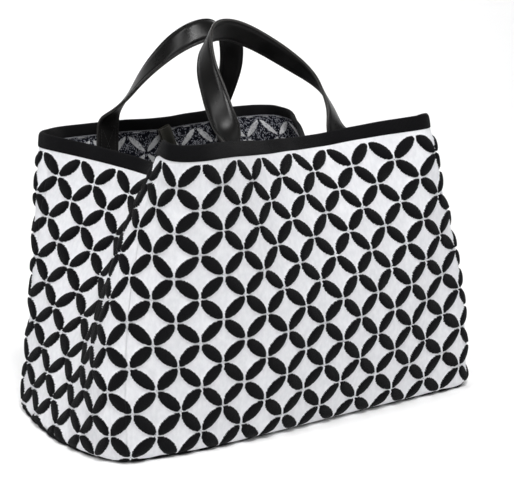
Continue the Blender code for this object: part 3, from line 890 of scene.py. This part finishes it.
def make_handle(name, handle, side):
    path = handle_path(handle, side)
    left, right, _, up, _ = loop_plane(handle, side)
    strap_nodes = (name + "_strap", name + "_left_anchor", name + "_right_anchor")
    outer = add_strap(name + "_outer_ply", path, STRAP_WIDTH, -0.00028, 0.00140, EDGE_INSET, "leather")
    inner_path = (path[0], -path[1], -path[2])
    inner = add_strap(name + "_inner_ply", inner_path, STRAP_WIDTH - 0.0003, 0.00030, 0.00195,
                      EDGE_INSET + 0.0002, "lining")
    rows = []
    for edge in (-1, 1):
        offset = edge * (STRAP_WIDTH / 2 - EDGE_INSET)
        for level in (0.00122, -0.00178):        # on the outer face and on the lining
            rows.append(stitch_run(path[0] + path[1] * offset + path[2] * level, path[1],
                                   path[2] * math.copysign(1.0, level), *EDGE_STITCH))
    seam = add_piece(name + "_edge_stitching", *merged(rows), ("thread",))
    for piece, slot, nodes in ((outer, "leather", strap_nodes),
                               (inner, "leather_lining", (name + "_lining",)), (seam, "thread", ())):
        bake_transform(piece)
        if nodes:
            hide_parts(*nodes)
    for leg, turn, way in zip(("left", "right"), handle["legs"], (side, -side)):
        make_box_stitching(f"{name}_{leg}", turn, way * SPLAY)


def make_box_stitching(name, turn, splay):
    """The box of heavy stitches that holds a sewn end to the body, on the inner face."""
    points, normals = anchor_line(turn, splay, 12)
    points, across, facing = resample(points[1:-1], normals[1:-1], 0.002)
    inset = STRAP_WIDTH / 2 - 0.0045
    height = 0.00205
    corners = [points - across * inset - facing * height, points + across * inset - facing * height]
    runs = [stitch_run(row, across, -facing, *BOX_STITCH) for row in corners]
    for k in (0, -1):
        side = np.linspace(corners[0][k], corners[1][k], 12)
        ahead = unit(points[1] - points[0])
        runs.append(stitch_run(side, np.tile(ahead, (12, 1)), np.tile(-facing[k], (12, 1)), *BOX_STITCH))
    for a, b in ((0, -1), (-1, 0)):
        side = np.linspace(corners[0][a], corners[1][b], 24)
        sideways = unit(np.cross(side[1] - side[0], facing[0]))
        runs.append(stitch_run(side, np.tile(sideways, (24, 1)),
                               np.tile(-facing[len(facing) // 2], (24, 1)), *CROSS_STITCH))
    piece = add_piece(name + "_box_stitching", *merged(runs), ("thread",))
    settle(piece, "root", "thread", name + "_anchor_stitching")


# ------------------------------ the closure tabs

def turned(name, centre, axis, profile, look, sides=40):
    """A round piece: `profile` is (radius, height) from the middle of one face to the other's."""
    axis = unit(np.asarray(axis, float))
    across = unit(np.cross(axis, (0.3, 0.1, 1.0)))
    third = np.cross(axis, across)
    points = [centre + axis * profile[0][1]]
    angles = np.linspace(0, 2 * math.pi, sides, endpoint=False)
    for radius, height in profile[1:-1]:
        points += list(centre + axis * height + radius * (np.cos(angles)[:, None] * across
                                                         + np.sin(angles)[:, None] * third))
    points.append(centre + axis * profile[-1][1])
    faces = ring_faces(len(profile) - 2, sides, first=1)
    end = len(points) - 1
    for j in range(sides):
        ahead = (j + 1) % sides
        faces += [(0, 1 + ahead, 1 + j), (end - sides + j, end - sides + ahead, end)]
    return add_piece(name, points, faces, (look,))


def make_tab(place, side, fastener):
    """A leather tab: sewn under the band, folded over and hanging into the bag."""
    turn = TAB_PLACES[place]
    body = f"{place}_tab"
    node = f"closure_tab_{place}"
    root = inside(turn, BAND, TAB_DEPTH)
    normal = np.array([0.0, side, 0.0])
    down = np.array([math.sin(TAB_SLANT), 0.0, -math.cos(TAB_SLANT)])
    top = root - normal * TAB_STANDOFF
    sewn = root + normal * 0.0007
    line = [sewn + down * 0.010, sewn + down * 0.005, sewn]
    facing = [-normal] * 3
    radius = (sewn - top).dot(normal) / 2
    for angle in np.linspace(0, math.pi, 9):
        line.append((sewn + top) / 2 - down * (TAB_FOLD + math.sin(angle) * radius)
                    + normal * math.cos(angle) * radius)
        facing.append(-normal * math.cos(angle) - down * math.sin(angle))
    line += [top + down * distance for distance in np.linspace(0.002, TAB_LENGTH, 14)]
    facing += [normal] * 14
    path = resample(line, facing, 0.0011, passes=3)
    reach = reaches(path[0])
    to_end = np.clip((reach[-1] - reach) / (TAB_WIDTH / 2), 0.0, 1.0)
    widths = np.sqrt(np.clip(1 - (1 - to_end) ** 2, 0.02, 1.0))
    tab = add_strap(f"{node}_strip", path, TAB_WIDTH, -TAB / 2, TAB / 2, TAB_INSET, "tab", widths)
    rows = []
    hanging = reach > reach[-1] - TAB_LENGTH + 0.010
    keep = hanging & (reach < reach[-1] - TAB_WIDTH / 2)
    for edge in (-1, 1):
        offset = edge * (TAB_WIDTH / 2 - TAB_INSET)
        for face in (-1, 1):
            level = TAB / 2 - (0.0002 if face > 0 else -0.00002)
            rows.append(stitch_run((path[0] + path[1] * offset + path[2] * face * level)[keep], path[1][keep],
                                   path[2][keep] * face, *TAB_STITCH))
    seam = add_piece(f"{node}_stitching", *merged(rows), ("thread",))
    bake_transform(tab)
    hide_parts(node)
    settle(seam, body, "thread")
    low = top + down * (TAB_LENGTH - 2 * SNAP_RADIUS)
    face = low - normal * (TAB / 2 + SNAP_GAP)
    back = low + normal * (TAB / 2)
    r, h = SNAP_RADIUS, SNAP
    profile = [(0, -0.0006), (r * 0.9, -0.0006), (r, -0.0001)]
    if fastener == "snap_socket":
        profile += [(r, h * 0.45), (r * 0.93, h * 0.62), (r * 0.72, h * 0.70), (r * 0.62, h * 0.98),
                    (r * 0.50, h), (r * 0.44, h * 0.85), (r * 0.42, h * 0.25), (r * 0.2, h * 0.2),
                    (0, h * 0.2)]
    else:
        profile += [(r, h * 0.30), (r * 0.93, h * 0.42), (r * 0.60, h * 0.46), (r * 0.44, h * 0.50),
                    (r * 0.36, h * 0.62), (r * 0.40, h * 0.82), (r * 0.34, h * 0.97), (r * 0.2, h), (0, h)]
    snap = turned(f"{fastener}_cup", face, -normal, profile, "steel")
    settle(snap, body, "snap_metal", fastener)
    w, t = WASHER_RADIUS, WASHER + SNAP_GAP
    cap = [(0, 0), (w * 0.9, 0), (w, t * 0.35), (w * 0.94, t * 0.7), (w * 0.7, t * 0.95),
           (w * 0.3, t), (0, t)]
    washer = turned(f"{fastener}_cap", back, normal, cap, "steel")
    settle(washer, body, "snap_metal", f"{fastener}_washer")


# ------------------------------ the setting

def make_floor():
    """A floor that curves up into a backdrop."""
    reach, radius = 6.0, 1.2
    bend = 1.2                                   # where the floor starts to rise
    rows = [(-reach, 0.0), (bend, 0.0)]
    for angle in np.linspace(0.1, math.pi / 2, 14):
        rows.append((bend + radius * math.sin(angle), radius * (1 - math.cos(angle))))
    rows.append((bend + radius, 3.5))
    turn = Matrix.Rotation(-CAMERA_AZIMUTH, 3, "Z")
    points = [turn @ Vector((x, y, z - 0.0005)) for y, z in rows for x in (-5.0, 5.0)]
    faces = [(2 * k, 2 * k + 1, 2 * k + 3, 2 * k + 2) for k in range(len(rows) - 1)]
    floor = add_piece("floor", points, faces, ("floor",))


LIGHT_AIM = (0.0, 0.0, 0.16)
LIGHTS = (                  # name, place, width and height, watts
    ("key", (-0.40, -1.05, 2.05), (0.50, 0.60), 31),
    ("side_key", (-1.45, -0.20, 2.00), (0.50, 0.95), 15),
    ("left_fill", (-2.4, -0.6, 0.9), (2.4, 1.6), 9),
    ("right_fill", (1.6, -1.9, 0.9), (1.8, 1.4), 8),
    ("back_fill", (0.8, 1.7, 1.3), (1.6, 1.2), 12),
)


def make_light(name, place, size, power):
    data = bpy.data.lights.new(name, "AREA")
    data.shape = "RECTANGLE"
    data.size, data.size_y = size
    data.energy = power
    light = bpy.data.objects.new(name, data)
    light.location = place
    light.rotation_euler = (Vector(LIGHT_AIM) - Vector(place)).to_track_quat("-Z", "Y").to_euler()
    bpy.context.scene.collection.objects.link(light)


CAMERA_AZIMUTH = math.radians(34.94)
CAMERA_DOWN = math.radians(12.70)
CAMERA_ROLL = math.radians(-0.22)
CAMERA_PLACE = (-0.7337, -1.0596, 0.4508)
CAMERA_LENS = 91.98         # millimetres, for a sensor 36 mm wide


def make_camera():
    data = bpy.data.cameras.new("camera")
    data.lens = CAMERA_LENS
    data.sensor_fit = "HORIZONTAL"
    data.sensor_width = 36.0
    data.clip_start = 0.05
    camera = bpy.data.objects.new("camera", data)
    camera.matrix_world = (Matrix.Translation(CAMERA_PLACE) @ Matrix.Rotation(-CAMERA_AZIMUTH, 4, "Z")
                           @ Matrix.Rotation(math.pi / 2 - CAMERA_DOWN, 4, "X")
                           @ Matrix.Rotation(CAMERA_ROLL, 4, "Z"))
    bpy.context.scene.collection.objects.link(camera)
    bpy.context.scene.camera = camera


def make_setting():
    scene = bpy.context.scene
    scene.view_settings.view_transform = "Standard"
    world = bpy.data.worlds.new("studio")
    world.use_nodes = True
    sky = world.node_tree.nodes["Background"]
    sky.inputs["Color"].default_value = (1.0, 1.0, 1.0, 1.0)
    sky.inputs["Strength"].default_value = 0.40
    scene.world = world
    make_floor()
    for light in LIGHTS:
        make_light(*light)


# ------------------------------ assembly

make_camera()
make_setting()
make_wall("knitted_front", 1, 19, "front_panel")
make_wall("knitted_right_side", 19, 29, "right_gusset")
make_wall("knitted_back", 29, 47, "back_panel")
make_wall("knitted_left_side", 47, 57, "left_gusset")
make_band()
make_base()
make_dark_bottom_ring()
make_handle("front_handle", FRONT_HANDLE, -1)
make_handle("back_handle", BACK_HANDLE, 1)
make_tab("back", 1, "snap_socket")
make_tab("front", -1, "snap_stud")
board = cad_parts["base_board"]
for slot in board.material_slots:
    slot.material = LOOKS["board"]
